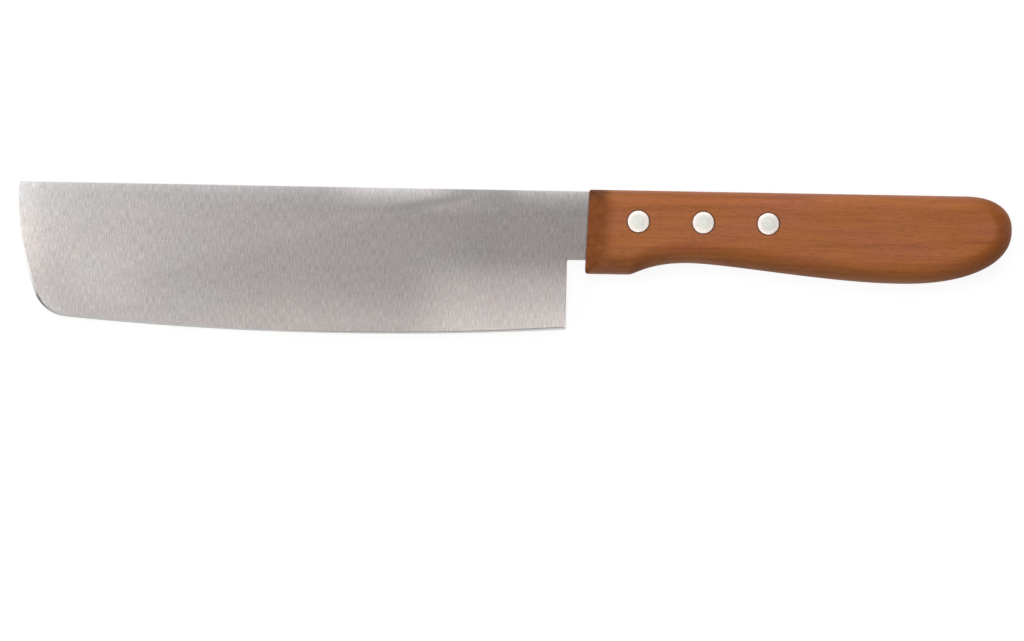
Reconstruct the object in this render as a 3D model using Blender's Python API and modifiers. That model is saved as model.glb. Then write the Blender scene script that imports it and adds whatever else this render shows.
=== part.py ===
"""Nakiri knife: a thin ground blade with a half tang, riveted into a slotted one-piece wooden handle.

The knife is drawn from its maker's datum, the point where the spine meets the handle, on the middle
plane of the steel: X runs to the butt, Y towards the spine and Z out of the blade's face. An empty then
carries every piece, so that the knife lies on its side with its origin under the middle of its box.
Metres throughout.
"""
import math

import bmesh
import bpy

# Blade blank, seen from its side
BLADE_REACH = 0.1722          # handle front to the foremost point of the rounded end
BLADE_DEPTH = 0.04415         # spine to the lowest point of the belly
FRONT_RADIUS = 0.084          # large arc of the rounded end
FRONT_CREST = 0.004           # how far below the spine that arc reaches foremost
BELLY_RADIUS = 0.98           # long arc of the cutting edge
BELLY_LOW = 0.074             # distance in front of the handle of the belly's lowest point
TIP_CORNER = 0.011            # radius between the rounded end and the belly
SPINE_CORNER = 0.0008         # small radius at the front end of the spine
HEEL_SETBACK = 0.00645        # gap between the heel and the handle
HEEL_CORNER = 0.0005          # radius that breaks the heel's lower corner
NECK_DROP = 0.0208            # height of the neck that enters the handle
NOTCH_RADIUS = 0.0006         # inner corner between heel and neck

# Grinding of the blade
BLADE_THICK = 0.0020          # steel left full at the neck and the tang
BEHIND_EDGE = 0.00035         # thickness behind the cutting edge, where the belly is lowest
TIP_THICK = 0.00065           # spine thickness at the foremost point
TAPER_START = 0.024           # distance in front of the handle where the spine starts to thin
NECK_FULLNESS = 2.0           # how much the section swells from a straight wedge at the neck
GRIND_RUNOUT = 0.006          # length inside the wood over which the ground wedge fades out
EDGE_LAND = 0.0001            # flat left on the cutting edge itself
EDGE_ANGLE = math.radians(15) # sharpening angle on each side

# Half tang
TANG_END_DROP = 0.0136        # lower edge of the tang at its far end
TANG_PAST_RIVET = 0.0062      # tang left beyond the rear rivet's centre
TANG_CORNER = 0.005           # radius of the far end's lower corner
TANG_STEP = 0.0010            # length over which the tang's top rises to the wood's

# Handle, seen from its side
HANDLE_LENGTH = 0.12743
HANDLE_PROUD = 0.0005         # top of the wood above the spine
WOOD_UNDER_NECK = 0.0041      # wood left below the neck at the handle's front
FRONT_SLANT = 0.0009          # how far the foot of the front face leans towards the blade
FRONT_CORNER = 0.0005         # radius of the front face's lower and upper corners
CORNER_GROWTH = 0.5           # how fast that radius grows as the top edges round over
CHIN_LENGTH = 0.0126          # straight stretch below the front, before the finger groove
CHIN_SOFTNESS = 0.0008        # reach of the soft corner at the end of that stretch
CHIN_SLOPE = 0.38             # slope of the wood as it leaves the chin
CHIN_LEAD = 0.0024            # how long the wood keeps that slope
GROOVE_AT = 0.0305            # deepest point of the finger groove, from the front
GROOVE_RISE = 0.0038          # depth of the groove above the chin's line
GROOVE_PULL = 0.010           # how long the groove stays level on its front side
SWELL_FALL = 0.0013           # palm swell below the chin's line
SWELL_FROM_BUTT = 0.0334      # lowest point of the palm swell, from the butt
PALM_PULL_FRONT = 0.012       # how long the groove stays level on its rear side
PALM_PULL_REAR = 0.022        # how long the swell stays level on its front side
BUTT_CREST = 0.0098           # rearmost point of the butt, below the spine line
BUTT_TOP_REACH = 0.0145       # where the top starts to fall, from the butt
BUTT_TOP_FULLNESS = 2.35      # exponent of the butt's upper quarter, 2 being an ellipse
BUTT_FOOT_FULLNESS = 2.2      # and of its lower quarter

# Handle, seen from its end
HANDLE_THICK = 0.0170
ROUND_DEEP = 0.0065           # rounding of the edges, measured through the thickness
ROUND_TOP = 0.0044            # rounding of the top edges, measured on the flat side
ROUND_FOOT = 0.0070           # rounding of the lower edges, which the fingers close on
ROUND_BUTT = 0.0062           # rounding of the butt
FRONT_ROUND_LONG = 0.0085     # rounding of the front end, measured along the handle
FRONT_ROUND_DEEP = 0.0048     # and measured through the thickness

# Rivets, from the blade to the butt
RIVET_NAMES = ("front", "middle", "rear")
FIRST_RIVET = 0.0147          # centre of the front rivet, from the handle's front
RIVET_PITCH = 0.0195
RIVET_DROP = 0.0090           # rivet centres below the spine line
HEAD_DIAMETER = 0.0065
HEAD_THICK = 0.0022
BARREL_DIAMETER = 0.0045
SHANK_DIAMETER = 0.0025
SHANK_PAST_TANG = 0.0025      # how far the shank reaches beyond the steel
SHANK_CHAMFER = 0.0003

# Clearances
FIT_GAP = 0.0003              # left around the tang and around each rivet
CUT_PAST = 0.002              # how far a cutter runs past the wood
MERGE = 1e-6                  # points closer than this are one

# Fineness of the facets
ROUND_SIDES = 48              # around a rivet
ROUND_LAYERS = 7              # layers of the handle's rounding
NECK_COLUMNS = 6              # columns on the neck
NECK_ROWS = 8                 # rows on the neck
CORNER_STEPS = 4              # around a small corner
FRONT_TOP_STEPS = 3           # down the blade's front to its foremost point
FRONT_STEPS = 14              # and from there to the tip
TIP_STEPS = 16
BELLY_STEPS = 24              # from the tip to the belly's lowest point
HEEL_STEPS = 18               # and from there to the heel
TANG_STEPS = 6                # around the tang's far corner
GROOVE_STEPS = 10             # from the chin to the finger groove
PALM_STEPS = 14               # from the groove to the palm swell
BUTT_FOOT_STEPS = 16
BUTT_TOP_STEPS = 12
SHARP_ANGLE = math.radians(25)
BLADE_SHARP_ANGLE = math.radians(5)

# Sizes that follow from the ones above
HALF_HANDLE = HANDLE_THICK / 2
HALF_BLADE = BLADE_THICK / 2
CHIN_DROP = NECK_DROP + WOOD_UNDER_NECK
GROOVE_DROP = CHIN_DROP - GROOVE_RISE
SWELL_DROP = CHIN_DROP + SWELL_FALL
RIVET_PLACES = [FIRST_RIVET + RIVET_PITCH * i for i in range(len(RIVET_NAMES))]
TANG_END = RIVET_PLACES[-1] + TANG_PAST_RIVET
EDGE_SLOPE = math.tan(EDGE_ANGLE)


def clear_scene():
    for item in list(bpy.data.objects):
        bpy.data.objects.remove(item, do_unlink=True)


def new_collection(name):
    collection = bpy.data.collections.new(name)
    bpy.context.scene.collection.children.link(collection)
    return collection


def new_material(name, color, roughness, metallic):
    material = bpy.data.materials.new(name)
    material.use_nodes = True
    material.diffuse_color = (*color, 1.0)
    shader = material.node_tree.nodes["Principled BSDF"]
    shader.inputs["Base Color"].default_value = (*color, 1.0)
    shader.inputs["Roughness"].default_value = roughness
    shader.inputs["Metallic"].default_value = metallic
    return material


def new_object(name, mesh, collection, parent, material=None):
    item = bpy.data.objects.new(name, mesh)
    item.parent = parent
    collection.objects.link(item)
    if material and not mesh.materials:
        mesh.materials.append(material)
    return item


def mesh_from(bm, name, sharp_angle=SHARP_ANGLE):
    mesh = bpy.data.meshes.new(name)
    bm.to_mesh(mesh)
    bm.free()
    mesh.shade_smooth()
    mesh.set_sharp_from_angle(angle=sharp_angle)
    return mesh


def arc(centre, radius, start, end, steps):
    """Points on a circle from one angle to another, both ends included."""
    turn = (end - start) / steps
    angles = [start + turn * i for i in range(steps + 1)]
    return [(centre[0] + radius * math.cos(a), centre[1] + radius * math.sin(a)) for a in angles]


def bezier(p0, p1, p2, p3, steps):
    """Points on a cubic curve, without its first point."""
    points = []
    for i in range(1, steps + 1):
        t = i / steps
        weights = ((1 - t) ** 3, 3 * (1 - t) ** 2 * t, 3 * (1 - t) * t ** 2, t ** 3)
        points.append(tuple(sum(w * p[k] for w, p in zip(weights, (p0, p1, p2, p3))) for k in (0, 1)))
    return points


def angle_from(centre, point):
    return math.atan2(point[1] - centre[1], point[0] - centre[0]) % math.tau


def rounding_centre(centre_a, radius_a, centre_b, radius_b, radius):
    """Centre of a small circle that lies in the corner of two large ones and touches both inside."""
    reach_a = radius_a - radius
    reach_b = radius_b - radius
    apart = math.dist(centre_a, centre_b)
    along = (reach_a ** 2 - reach_b ** 2 + apart ** 2) / (2 * apart)
    aside = math.sqrt(reach_a ** 2 - along ** 2)
    ux = (centre_b[0] - centre_a[0]) / apart
    uy = (centre_b[1] - centre_a[1]) / apart
    middle = (centre_a[0] + ux * along, centre_a[1] + uy * along)
    return min((middle[0] - side * uy * aside, middle[1] + side * ux * aside) for side in (1, -1))


def tang_floor(x):
    """Lower edge of the neck and the tang: level in front of the wood, then rising to the far end."""
    share = max(x, 0) / TANG_END
    return -NECK_DROP + (NECK_DROP - TANG_END_DROP) * share


def tang_lower_edge(start, clearance):
    """The tang's lower edge and rounded far corner, moved out by a clearance."""
    corner = TANG_CORNER + clearance
    low = tang_floor(TANG_END - TANG_CORNER) - clearance
    points = [(start, tang_floor(start) - clearance)]
    if start < 0:
        points.append((0, -NECK_DROP - clearance))
    return points + arc((TANG_END - TANG_CORNER, low + corner), corner, -math.pi / 2, 0, TANG_STEPS)


def blade_outline():
    """The blank's outline as (x, y, share of edge bevel), counter-clockwise from the spine's front end."""
    front = (FRONT_RADIUS - BLADE_REACH, -FRONT_CREST)
    belly = (-BELLY_LOW, BELLY_RADIUS - BLADE_DEPTH)
    tip = rounding_centre(front, FRONT_RADIUS, belly, BELLY_RADIUS, TIP_CORNER)
    front_end = angle_from(front, tip)
    belly_start = angle_from(belly, tip)

    corner_start = math.pi - math.asin((FRONT_CREST - SPINE_CORNER) / FRONT_RADIUS)
    corner_foot = arc(front, FRONT_RADIUS, corner_start, math.pi, FRONT_TOP_STEPS)
    spine_corner = (corner_foot[0][0] + SPINE_CORNER, -SPINE_CORNER)
    corner_top = arc(spine_corner, SPINE_CORNER, math.pi / 2, math.pi, CORNER_STEPS)
    outline = [(*p, 0) for p in corner_top[:-1] + corner_foot]

    down_front = arc(front, FRONT_RADIUS, math.pi, front_end, FRONT_STEPS)[1:]
    outline += [(*p, (i + 1) / len(down_front)) for i, p in enumerate(down_front)]
    outline += [(*p, 1) for p in arc(tip, TIP_CORNER, front_end, belly_start, TIP_STEPS)[1:]]

    heel_end = 1.5 * math.pi + math.asin((BELLY_LOW - HEEL_SETBACK - HEEL_CORNER) / BELLY_RADIUS)
    outline += [(*p, 1) for p in arc(belly, BELLY_RADIUS, belly_start, 1.5 * math.pi, BELLY_STEPS)[1:]]
    outline += [(*p, 1) for p in arc(belly, BELLY_RADIUS, 1.5 * math.pi, heel_end, HEEL_STEPS)[1:]]
    heel = (-HEEL_SETBACK - HEEL_CORNER, outline[-1][1] + HEEL_CORNER)
    heel_arc = arc(heel, HEEL_CORNER, -math.pi / 2, 0, CORNER_STEPS)[1:]
    outline += [(*p, 1 - (i + 1) / len(heel_arc)) for i, p in enumerate(heel_arc)]

    notch = (-HEEL_SETBACK + NOTCH_RADIUS, -NECK_DROP - NOTCH_RADIUS)
    outline += [(*p, 0) for p in arc(notch, NOTCH_RADIUS, math.pi, math.pi / 2, CORNER_STEPS)]
    outline += [(*p, 0) for p in tang_lower_edge(0, 0)]
    outline += [(TANG_END, HANDLE_PROUD, 0), (TANG_STEP, HANDLE_PROUD, 0), (0, 0, 0)]
    return outline


def taper_per_metre():
    return (BLADE_THICK - TIP_THICK) / (BLADE_REACH - TAPER_START)


def ground_half_thickness(x, y):
    """Half the steel's thickness: a wedge to the edge, thinned to the tip, and kept full at the neck."""
    drop = max(-y, 0) / BLADE_DEPTH
    to_tip = max(-x, 0)
    neck = max(1 - to_tip / TAPER_START, 0)
    fullness = 1 + NECK_FULLNESS * neck ** 2
    inside = max(1 - max(x, 0) / GRIND_RUNOUT, 0)
    wedge = BLADE_THICK - (BLADE_THICK - BEHIND_EDGE) * inside * drop ** fullness
    taper = BLADE_THICK - taper_per_metre() * max(to_tip - TAPER_START, 0)
    return min(wedge, taper) / 2


def bevel_height(x, y):
    """How far the sharpening takes each side down, from the ground face to the edge's land."""
    return ground_half_thickness(x, y) - EDGE_LAND / 2


def score(bm, point, normal, wanted):
    """Score the sheet's wanted faces along a plane, so that a ground face can end there."""
    faces = [f for f in bm.faces if wanted(f.calc_center_median())]
    edges = list({e for f in faces for e in f.edges})
    verts = list({v for f in faces for v in f.verts})
    bmesh.ops.bisect_plane(bm, geom=verts + edges + faces, dist=MERGE, plane_co=point, plane_no=normal)


def blade_mesh():
    """Half of the blade above its middle plane: the flat blank, scored where the grinding changes,
    then raised to its ground thickness and walled down to the middle plane."""
    bm = bmesh.new()
    bevel = bm.verts.layers.float.new("bevel")
    outline = blade_outline()
    outer = []
    inner = []
    for i, (x, y, share) in enumerate(outline):
        vert = bm.verts.new((x, y, 0))
        vert[bevel] = share
        outer.append(vert)
        if share == 0:
            inner.append(vert)
            continue
        before = outline[i - 1]
        after = outline[(i + 1) % len(outline)]
        length = math.dist(before[:2], after[:2])
        width = share * bevel_height(x, y) / EDGE_SLOPE
        inward = ((before[1] - after[1]) / length, (after[0] - before[0]) / length)
        inner.append(bm.verts.new((x + inward[0] * width, y + inward[1] * width, 0)))
    bm.faces.new(inner)
    for i in range(len(outer)):
        j = (i + 1) % len(outer)
        ring = [outer[i], outer[j], inner[j], inner[i]]
        ring = [v for k, v in enumerate(ring) if v is not ring[k - 1]]
        if len(ring) > 2:
            bm.faces.new(ring)

    for column in range(NECK_COLUMNS + 1):
        score(bm, (-TAPER_START * column / NECK_COLUMNS, 0, 0), (1, 0, 0), lambda p: True)
    score(bm, (GRIND_RUNOUT, 0, 0), (1, 0, 0), lambda p: True)
    for row in range(1, NECK_ROWS):
        score(bm, (0, -BLADE_DEPTH * row / NECK_ROWS, 0), (0, 1, 0),
              lambda p: -TAPER_START < p.x < GRIND_RUNOUT)
    wedge_per_metre = (BLADE_THICK - BEHIND_EDGE) / BLADE_DEPTH
    shoulder = taper_per_metre() / wedge_per_metre
    score(bm, (-TAPER_START, 0, 0), (shoulder, -1, 0), lambda p: p.x < -TAPER_START)

    for vert in bm.verts:
        x, y = vert.co.x, vert.co.y
        vert.co.z = ground_half_thickness(x, y) - vert[bevel] * bevel_height(x, y)
    rim = [e for e in bm.edges if e.is_boundary]
    wall = bmesh.ops.extrude_edge_only(bm, edges=rim)["geom"]
    for vert in (g for g in wall if isinstance(g, bmesh.types.BMVert)):
        vert.co.z = 0
    bmesh.ops.recalc_face_normals(bm, faces=bm.faces)
    return mesh_from(bm, "blade", BLADE_SHARP_ANGLE)


def front_face(y, set_back):
    """X of the handle's front face at a height, leaning forward towards its foot."""
    return set_back + FRONT_SLANT * y / CHIN_DROP


def quarter(centre, reach, height, fullness, start, steps):
    """A quarter of a rounded end, a little squarer than an ellipse, without its first point. It starts
    below (-90 degrees) or at the rearmost point (0 degrees)."""
    points = []
    for i in range(1, steps + 1):
        turn = start + math.pi / 2 * i / steps
        x = reach * abs(math.cos(turn)) ** (2 / fullness)
        y = height * abs(math.sin(turn)) ** (2 / fullness)
        points.append((centre[0] + x, centre[1] + math.copysign(y, math.sin(turn))))
    return points


def handle_outline(layer):
    """The handle's outline at one layer, drawn in from its edges, counter-clockwise from the top of the
    front face."""
    top = HANDLE_PROUD - layer["top"]
    foot = layer["foot"] - CHIN_DROP
    set_back = layer["front"]
    c = FRONT_CORNER + CORNER_GROWTH * layer["top"]
    points = arc((front_face(top, set_back) + c, top - c), c, math.pi / 2, math.pi, CORNER_STEPS)
    points += arc((front_face(foot, set_back) + c, foot + c), c, math.pi, 1.5 * math.pi, CORNER_STEPS)

    soft = CHIN_SOFTNESS
    chin_start = (CHIN_LENGTH - soft, foot)
    chin = (CHIN_LENGTH, foot)
    chin_end = (CHIN_LENGTH + soft, foot + CHIN_SLOPE * soft)
    groove = (GROOVE_AT, layer["foot"] - GROOVE_DROP)
    swell = (HANDLE_LENGTH - SWELL_FROM_BUTT, layer["foot"] - SWELL_DROP)
    points.append(chin_start)
    points += bezier(chin_start, chin, chin, chin_end, CORNER_STEPS)
    points += bezier(chin_end, (chin_end[0] + CHIN_LEAD, chin_end[1] + CHIN_SLOPE * CHIN_LEAD),
                     (groove[0] - GROOVE_PULL, groove[1]), groove, GROOVE_STEPS)
    points += bezier(groove, (groove[0] + PALM_PULL_FRONT, groove[1]),
                     (swell[0] - PALM_PULL_REAR, swell[1]), swell, PALM_STEPS)

    points += quarter((swell[0], -BUTT_CREST), SWELL_FROM_BUTT - layer["butt"],
                      SWELL_DROP - BUTT_CREST - layer["foot"],
                      BUTT_FOOT_FULLNESS, -math.pi / 2, BUTT_FOOT_STEPS)
    points += quarter((HANDLE_LENGTH - BUTT_TOP_REACH, -BUTT_CREST), BUTT_TOP_REACH - layer["butt"],
                      HANDLE_PROUD + BUTT_CREST - layer["top"], BUTT_TOP_FULLNESS, 0, BUTT_TOP_STEPS)
    return points


def rounding(height, across, deep):
    """How far an edge has drawn in at a height, by a quarter ellipse that ends on the flat side."""
    rise = max(1 - (HALF_HANDLE - height) / deep, 0)
    return across * (1 - math.sqrt(1 - rise ** 2))


def handle_layers():
    """Layers from the middle plane up to the flat side, closer where the rounding turns faster."""
    turns = [math.pi / 2 * i / ROUND_LAYERS for i in range(ROUND_LAYERS + 1)]
    heights = [0] + [HALF_HANDLE - ROUND_DEEP * (1 - math.sin(turn)) for turn in turns]
    return [{"height": height,
             "top": rounding(height, ROUND_TOP, ROUND_DEEP),
             "foot": rounding(height, ROUND_FOOT, ROUND_DEEP),
             "butt": rounding(height, ROUND_BUTT, ROUND_DEEP),
             "front": rounding(height, FRONT_ROUND_LONG, FRONT_ROUND_DEEP)} for height in heights]


def handle_mesh():
    """Half of the handle above its middle plane, lofted through layers that draw in as they rise."""
    bm = bmesh.new()
    rings = []
    for layer in handle_layers():
        rings.append([bm.verts.new((x, y, layer["height"])) for x, y in handle_outline(layer)])
    for low, high in zip(rings, rings[1:]):
        for i in range(len(low)):
            j = (i + 1) % len(low)
            bm.faces.new((low[i], low[j], high[j], high[i]))
    bm.faces.new(rings[-1])
    return mesh_from(bm, "handle")


def slot_mesh():
    """The saw slot: the tang's shape with its clearance, open through the wood's front and top."""
    outline = tang_lower_edge(-FRONT_SLANT - CUT_PAST, FIT_GAP)
    outline += [(TANG_END + FIT_GAP, HANDLE_PROUD + CUT_PAST)]
    outline += [(outline[0][0], HANDLE_PROUD + CUT_PAST)]
    half = HALF_BLADE + FIT_GAP
    bm = bmesh.new()
    face = bm.faces.new([bm.verts.new((x, y, -half)) for x, y in outline])
    grown = bmesh.ops.extrude_face_region(bm, geom=[face])["geom"]
    top = [g for g in grown if isinstance(g, bmesh.types.BMVert)]
    bmesh.ops.translate(bm, vec=(0, 0, 2 * half), verts=top)
    bmesh.ops.recalc_face_normals(bm, faces=bm.faces)
    return mesh_from(bm, "slot")


def profile_mesh(name, points):
    """A profile of (radius, height) points, for the Screw modifier to turn."""
    mesh = bpy.data.meshes.new(name)
    steps = [(i, i + 1) for i in range(len(points) - 1)]
    mesh.from_pydata([(radius, 0, height) for radius, height in points], steps, [])
    return mesh


def bore_profile():
    """The drilled hole with a counterbore for a rivet head on each side of the handle."""
    head = HEAD_DIAMETER / 2 + FIT_GAP
    barrel = BARREL_DIAMETER / 2 + FIT_GAP
    end = HALF_HANDLE + CUT_PAST
    seat = HALF_HANDLE - HEAD_THICK - FIT_GAP
    return [(0, end), (head, end), (head, seat), (barrel, seat),
            (barrel, -seat), (head, -seat), (head, -end), (0, -end)]


def shank_tip():
    return -HALF_BLADE - SHANK_PAST_TANG


def male_profile():
    """Rivet half with the solid shank: its head is flush with the handle's upper side."""
    head = HEAD_DIAMETER / 2
    shank = SHANK_DIAMETER / 2
    under = HALF_HANDLE - HEAD_THICK
    return [(0, HALF_HANDLE), (head, HALF_HANDLE), (head, under), (shank, under),
            (shank, shank_tip() + SHANK_CHAMFER), (shank - SHANK_CHAMFER, shank_tip()), (0, shank_tip())]


def female_profile():
    """Rivet half with the bored barrel: its head is flush with the handle's lower side."""
    head = HEAD_DIAMETER / 2
    barrel = BARREL_DIAMETER / 2
    bore = SHANK_DIAMETER / 2 + FIT_GAP
    mouth = HALF_HANDLE - HEAD_THICK - FIT_GAP
    floor = shank_tip() - FIT_GAP
    under = HEAD_THICK - HALF_HANDLE
    return [(0, floor), (bore, floor), (bore, mouth), (barrel, mouth),
            (barrel, under), (head, under), (head, -HALF_HANDLE), (0, -HALF_HANDLE)]


def turn_profile(item):
    screw = item.modifiers.new("turned", "SCREW")
    screw.axis = "Z"
    screw.steps = ROUND_SIDES
    screw.render_steps = ROUND_SIDES
    screw.use_smooth_shade = False
    screw.use_merge_vertices = True
    screw.merge_threshold = MERGE


def mirror_about_steel(item):
    mirror = item.modifiers.new("both sides", "MIRROR")
    mirror.use_axis = (False, False, True)
    mirror.use_mirror_merge = True
    mirror.merge_threshold = MERGE


def cut(item, cutter):
    boolean = item.modifiers.new(cutter.name, "BOOLEAN")
    boolean.operation = "DIFFERENCE"
    boolean.solver = "EXACT"
    boolean.object = cutter


def make_cutter(name, mesh, collection, parent):
    cutter = new_object(name, mesh, collection, parent)
    cutter.display_type = "WIRE"
    cutter.hide_render = True
    return cutter


def build_knife():
    clear_scene()
    parts = new_collection("nakiri_knife")
    cutters = new_collection("cutters")
    steel = new_material("satin_steel", (0.56, 0.55, 0.54), 0.38, 1.0)
    wood = new_material("oiled_wood", (0.376, 0.122, 0.048), 0.55, 0.0)
    aluminium = new_material("ground_aluminium", (0.86, 0.86, 0.86), 0.35, 1.0)

    datum = bpy.data.objects.new("spine_meets_handle", None)
    datum.location = ((BLADE_REACH - HANDLE_LENGTH) / 2, (BLADE_DEPTH - HANDLE_PROUD) / 2, HALF_HANDLE)
    parts.objects.link(datum)

    blade = new_object("blade", blade_mesh(), parts, datum, steel)
    handle = new_object("handle", handle_mesh(), parts, datum, wood)
    mirror_about_steel(blade)
    mirror_about_steel(handle)
    cut(handle, make_cutter("slot_cutter", slot_mesh(), cutters, datum))

    bore = profile_mesh("bore", bore_profile())
    male = profile_mesh("rivet_male", male_profile())
    female = profile_mesh("rivet_female", female_profile())
    for name, place in zip(RIVET_NAMES, RIVET_PLACES):
        drill = make_cutter("bore_" + name, bore, cutters, datum)
        halves = [new_object("rivet_" + name + "_male", male, parts, datum, aluminium),
                  new_object("rivet_" + name + "_female", female, parts, datum, aluminium)]
        for turned in (drill, *halves):
            turned.location = (place, -RIVET_DROP, 0)
            turn_profile(turned)
        cut(blade, drill)
        cut(handle, drill)


build_knife()
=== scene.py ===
# %% [markdown]
# A nakiri is a vegetable knife: a tall, thin blade with a straight spine and a nearly straight edge,
# so that the whole edge meets the board at once. This one has a steel blade with a half tang, a
# wooden handle sawn open to take that tang, and three aluminium rivets through both.
#
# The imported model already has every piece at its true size, but with plain facets. Dressing it
# starts by reading where its pieces are, because each finer surface has to lie in the same space as
# the piece it stands for.

import math

import bmesh
import bpy
import mathutils
import numpy as np
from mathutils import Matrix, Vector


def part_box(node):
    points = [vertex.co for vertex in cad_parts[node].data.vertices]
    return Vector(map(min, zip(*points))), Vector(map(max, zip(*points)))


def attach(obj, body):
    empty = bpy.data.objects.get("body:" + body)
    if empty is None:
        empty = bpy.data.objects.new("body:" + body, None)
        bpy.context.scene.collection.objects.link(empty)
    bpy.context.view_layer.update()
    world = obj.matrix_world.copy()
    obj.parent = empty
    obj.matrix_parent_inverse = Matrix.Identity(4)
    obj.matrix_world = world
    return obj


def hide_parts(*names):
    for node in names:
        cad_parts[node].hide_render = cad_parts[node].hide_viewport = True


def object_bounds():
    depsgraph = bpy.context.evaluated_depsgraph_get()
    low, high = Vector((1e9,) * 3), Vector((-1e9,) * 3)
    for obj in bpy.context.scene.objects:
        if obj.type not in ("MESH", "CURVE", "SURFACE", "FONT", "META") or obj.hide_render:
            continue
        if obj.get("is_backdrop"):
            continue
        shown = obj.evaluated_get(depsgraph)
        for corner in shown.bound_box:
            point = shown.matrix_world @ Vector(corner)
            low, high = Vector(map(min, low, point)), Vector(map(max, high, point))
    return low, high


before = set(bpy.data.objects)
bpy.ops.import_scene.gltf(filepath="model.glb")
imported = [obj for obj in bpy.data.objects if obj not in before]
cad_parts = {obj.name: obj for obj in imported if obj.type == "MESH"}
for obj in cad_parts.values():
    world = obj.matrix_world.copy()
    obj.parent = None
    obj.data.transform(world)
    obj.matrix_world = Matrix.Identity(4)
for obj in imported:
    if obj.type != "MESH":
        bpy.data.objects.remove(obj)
cad_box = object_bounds()
print("pieces in the frame:", ", ".join(sorted(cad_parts)))

# %% [markdown]
# Knife makers measure from the place where the spine meets the handle, on the middle plane of the
# steel. All the lengths below are taken from that datum: X runs to the butt, Y towards the spine and
# Z out of the blade's face. The handle's box gives the datum's place in the frame.

# %% Find the maker's datum
HANDLE_LENGTH = 0.12743
HANDLE_PROUD = 0.0005         # top of the wood above the spine

handle_low, handle_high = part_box("handle")
HALF_HANDLE = (handle_high.z - handle_low.z) / 2
DATUM = np.array([handle_high.x - HANDLE_LENGTH,
                  handle_high.y - HANDLE_PROUD,
                  handle_low.z + HALF_HANDLE])
print("datum at", np.round(DATUM * 1000, 3), "mm; the handle is", round(HALF_HANDLE * 2000, 2), "mm thick")

# %% [markdown]
# Three kinds of curve draw every outline here. They take single numbers or columns of numbers, so
# that one call can also give a family of curves, such as the layers of a rounded edge: a column has
# one number for each layer, and the result has one row for each.

# %% Curves
QUARTER = math.pi / 2


def steps(count):
    """The numbers 1/count, 2/count ... 1: a curve leaves out its first point, which the one before
    it already has."""
    return np.arange(1, count + 1) / count


def line(start, end, count):
    """x and y on a straight line: start + (end - start) t."""
    t = steps(count)
    return [a + (b - a) * t for a, b in zip(start, end)]


def arc(centre, reach, start, end, count, fullness=2):
    """x and y on an arc: the centre plus the reach times the cosine and sine of the angle, each
    raised to 2 / fullness. A fullness of 2 is an ellipse, and more is squarer."""
    angle = start + (end - start) * steps(count)
    turns = [np.copysign(np.abs(turn) ** (2 / fullness), turn) for turn in (np.cos(angle), np.sin(angle))]
    return [c + r * turn for c, r, turn in zip(centre, reach, turns)]


def bend(centre, radius, start, end, count):
    """x and y on part of a circle: an arc that reaches as far both ways."""
    return arc(centre, (radius, radius), start, end, count)


def bezier(p0, p1, p2, p3, count):
    """x and y on a cubic curve: its four points weighted by (1-t)^3, 3(1-t)^2 t, 3(1-t) t^2, t^3."""
    t = steps(count)
    weights = ((1 - t) ** 3, 3 * (1 - t) ** 2 * t, 3 * (1 - t) * t ** 2, t ** 3)
    return [sum(weight * p[k] for weight, p in zip(weights, (p0, p1, p2, p3))) for k in (0, 1)]


def join(*curves):
    """Curves one after the other, as an array of (row, point, x or y)."""
    parts = [np.stack(np.broadcast_arrays(*np.atleast_2d(*curve)), axis=-1) for curve in curves]
    rows = max(len(part) for part in parts)
    return np.concatenate([np.repeat(part, rows // len(part), axis=0) for part in parts], axis=1)


quarter_circle = np.vstack([(1, 0), join(bend((0, 0), 1, 0, QUARTER, 64))[0]])
length = float(np.hypot(*np.diff(quarter_circle, axis=0).T).sum())
print("a quarter circle of 64 steps is", round(length, 4), "long, and pi / 2 would be", round(QUARTER, 4))

# %% [markdown]
# A surface is a grid of points, and its faces only join each point to its neighbours, so one
# function can do that for all the pieces. Each row of a grid is a closed ring. Where a whole ring
# falls on one place, as at a pole, its points are merged, and an open first or last ring gets one
# flat face, so that every shell is closed.

# %% Grids and shells
MERGE = 2e-7                  # points closer than this are one


def ring_faces(rings, around):
    """The quads between each ring and the next: (i, j), (i, j+1), (i+1, j+1), (i+1, j)."""
    index = np.arange(rings * around).reshape(rings, around)
    index = np.hstack([index, index[:, :1]])
    return np.stack((index[:-1, :-1], index[:-1, 1:], index[1:, 1:], index[1:, :-1]), axis=-1).reshape(-1, 4)


def shell(name, grid, lids=False):
    """A mesh from a grid of (ring, point, coordinate), moved from the datum to its place."""
    rings, around = grid.shape[:2]
    faces = ring_faces(rings, around).tolist()
    if lids:
        faces += [list(range(around)), list(range((rings - 1) * around, rings * around))]
    mesh = bpy.data.meshes.new(name)
    mesh.from_pydata((grid + DATUM).reshape(-1, 3), [], faces)
    return mesh


def tidied(mesh, sharp_angle):
    """Merge doubles, turn all faces outward and shade smooth, apart from edges over the angle."""
    bm = bmesh.new()
    bm.from_mesh(mesh)
    bmesh.ops.remove_doubles(bm, verts=bm.verts, dist=MERGE)
    bmesh.ops.dissolve_degenerate(bm, edges=bm.edges, dist=MERGE)
    bmesh.ops.recalc_face_normals(bm, faces=bm.faces)
    loose = sum(not edge.is_manifold for edge in bm.edges)
    volume = bm.calc_volume() * 1e6
    bm.to_mesh(mesh)
    bm.free()
    mesh.shade_smooth()
    mesh.set_sharp_from_angle(angle=sharp_angle)
    print(f"{mesh.name}: {len(mesh.polygons)} faces, {loose} edges open, {volume:.2f} cubic cm")
    return mesh


# %% [markdown]
# A rivet, a hole and a drill are all turned shapes: a profile of radius and height carried round an
# axis. The handle's holes and its saw slot are then cut with a Boolean, which is how the real ones
# are made too. Its result is kept as a plain mesh and the tools are thrown away.

# %% Turning and cutting
ROUND_SIDES = 96


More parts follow.
